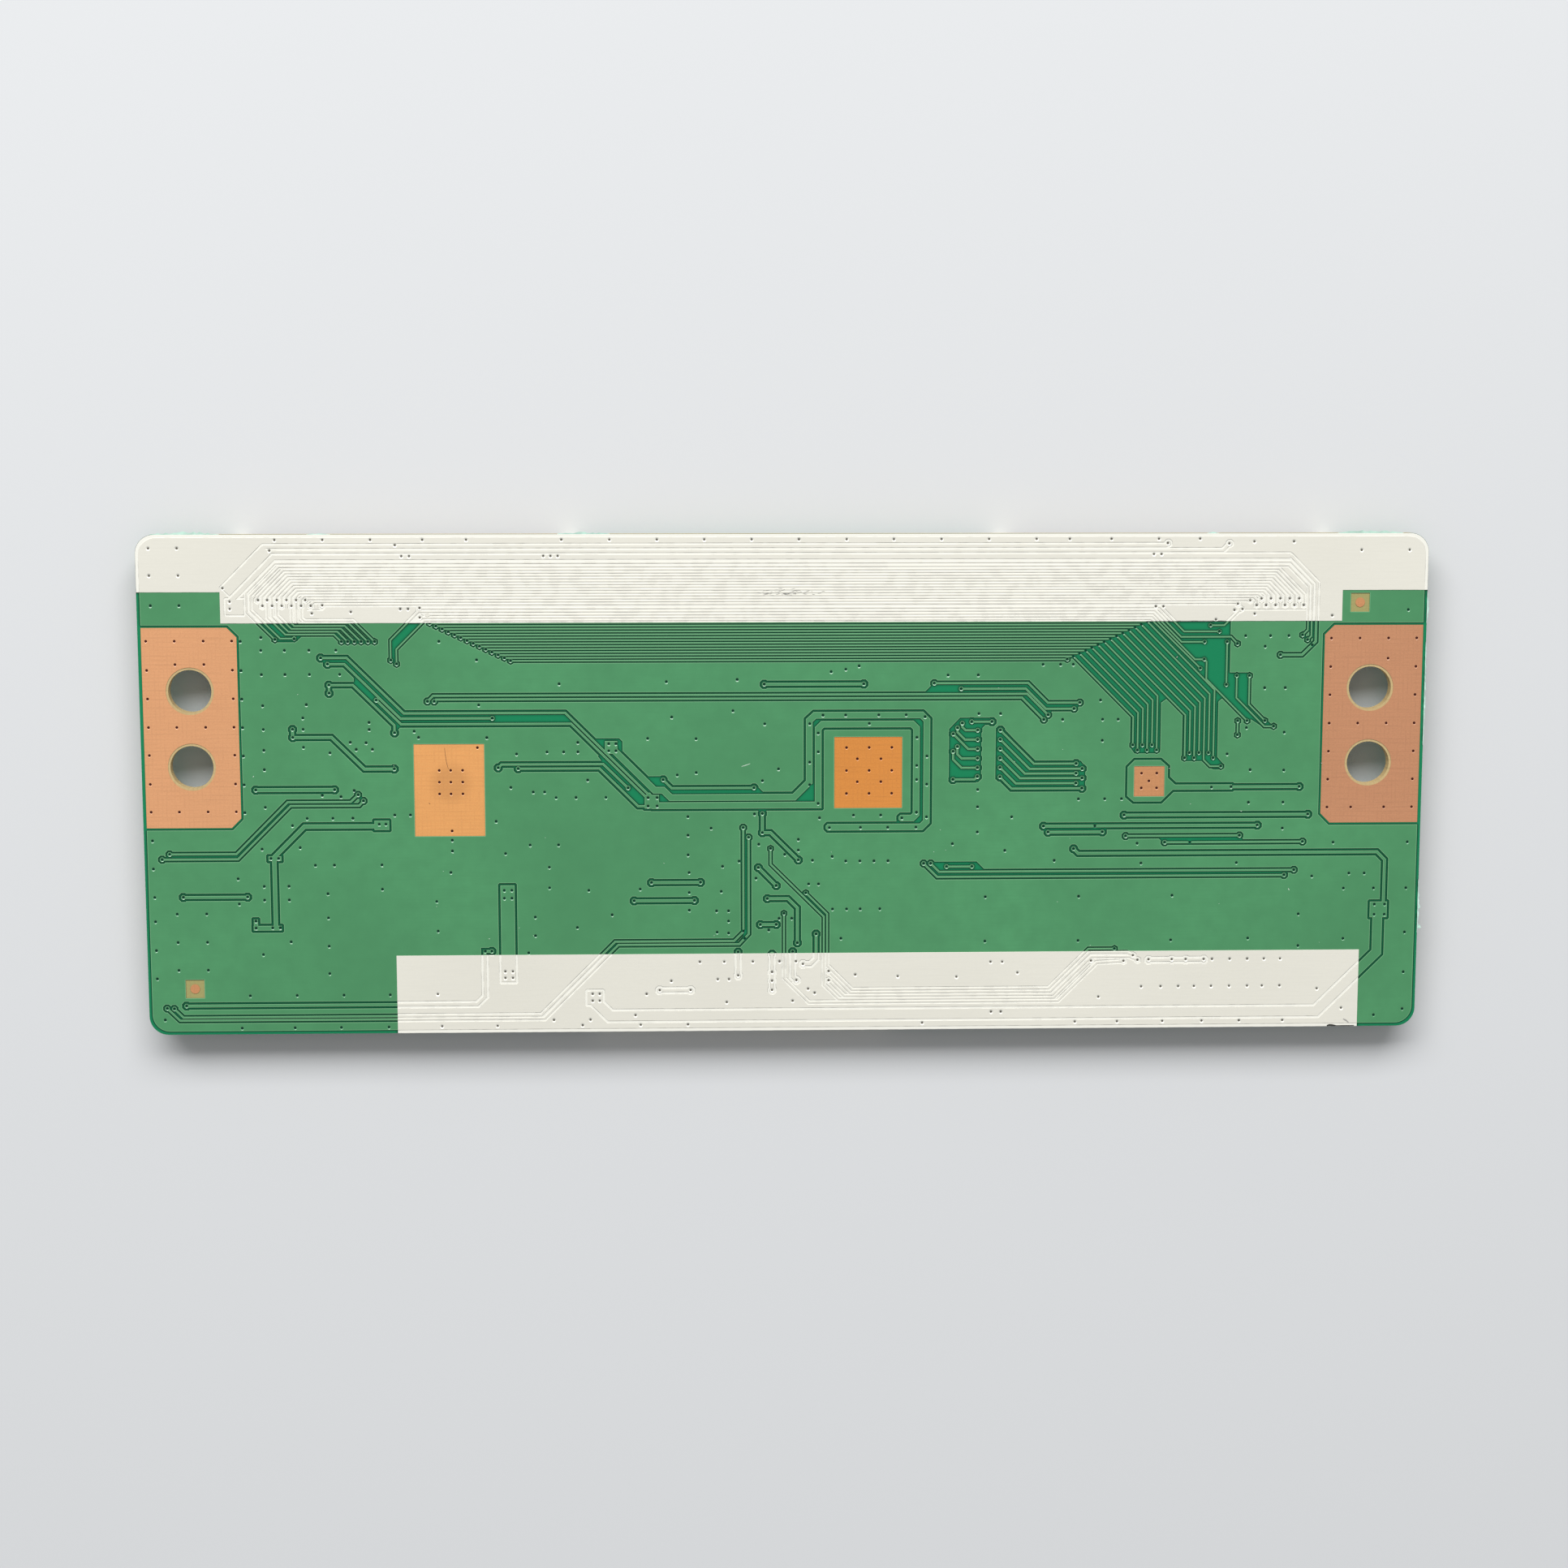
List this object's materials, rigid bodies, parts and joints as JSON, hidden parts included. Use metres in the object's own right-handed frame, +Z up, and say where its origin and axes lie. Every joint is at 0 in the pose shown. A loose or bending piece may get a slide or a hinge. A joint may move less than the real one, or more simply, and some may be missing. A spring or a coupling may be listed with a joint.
{
  "type": "timing control board",
  "caption": "Flat rectangular display control board lying component side down: green mask with raised tracks, white ink bands, bare copper pads, mounting holes and cable sockets.",
  "frame": {"origin": "below the middle of the board, on the plane of the socket tops that it rests on", "axes": "+X along the board, +Y across it towards the output sockets, +Z up out of the solder side"},
  "size_m": [0.1354, 0.053, 0.0038],
  "materials": {
    "laminate": "glass-epoxy laminate",
    "mask_back": "semi-gloss green solder mask",
    "mask_front": "semi-gloss green solder mask",
    "white_ink": "matt white legend ink",
    "ground_copper": "coated bare copper",
    "heat_copper": "coated bare copper",
    "black_resin": "moulded epoxy",
    "resistor_glaze": "glazed",
    "ivory_plastic": "moulded",
    "brown_plastic": "moulded",
    "shell_steel": "tinned sheet",
    "tin": "tinned",
    "ferrite": "pressed ferrite",
    "capacitor_ceramic": "fired ceramic",
    "fuse_ceramic": "fired ceramic"
  },
  "bodies": {
    "board": {"board_laminate": "laminate", "solder_mask_back": "mask_back", "solder_mask_front": "mask_front", "legend_band_upper": "white_ink", "legend_band_lower": "white_ink", "ground_pad_left": "ground_copper", "ground_pad_right": "ground_copper", "heat_pad_regulator": "heat_copper", "heat_pad_controller": "heat_copper", "heat_pad_gamma": "heat_copper", "fiducial_dots": "ground_copper", "controller_body": "black_resin", "controller_leads": "tin", "controller_slug": "tin", "regulator_body": "black_resin", "regulator_terminals": "tin", "gamma_body": "black_resin", "gamma_terminals": "tin", "memory_body": "black_resin", "memory_leads": "tin", "left_socket_housing": "ivory_plastic", "left_socket_contacts": "tin", "left_socket_tabs": "tin", "right_socket_housing": "ivory_plastic", "right_socket_contacts": "tin", "right_socket_tabs": "tin", "input_socket_housing": "ivory_plastic", "input_socket_contacts": "tin", "input_socket_shell": "shell_steel", "inductor_cores": "ferrite", "inductor_terminals": "tin", "diode_bodies": "black_resin", "diode_tabs": "tin", "bulk_capacitor_bodies": "capacitor_ceramic", "bulk_capacitor_ends": "tin", "chip_capacitor_bodies": "capacitor_ceramic", "chip_capacitor_ends": "tin", "resistor_bodies": "resistor_glaze", "resistor_ends": "tin", "transistor_bodies": "black_resin", "transistor_leads": "tin", "fuse_body": "fuse_ceramic", "fuse_ends": "tin"},
    "left_lock": {"left_lock_bar": "brown_plastic"},
    "right_lock": {"right_lock_bar": "brown_plastic"}
  },
  "joints": [
    {"name": "left_lock_hinge", "type": "hinge", "parent": "board", "child": "left_lock", "pos_m": [-0.04, 0.0245, 0.0007], "axis": [-1, 0, 0], "range_deg": [0, 95]},
    {"name": "right_lock_hinge", "type": "hinge", "parent": "board", "child": "right_lock", "pos_m": [0.04, 0.0245, 0.0007], "axis": [-1, 0, 0], "range_deg": [0, 95]}
  ]
}
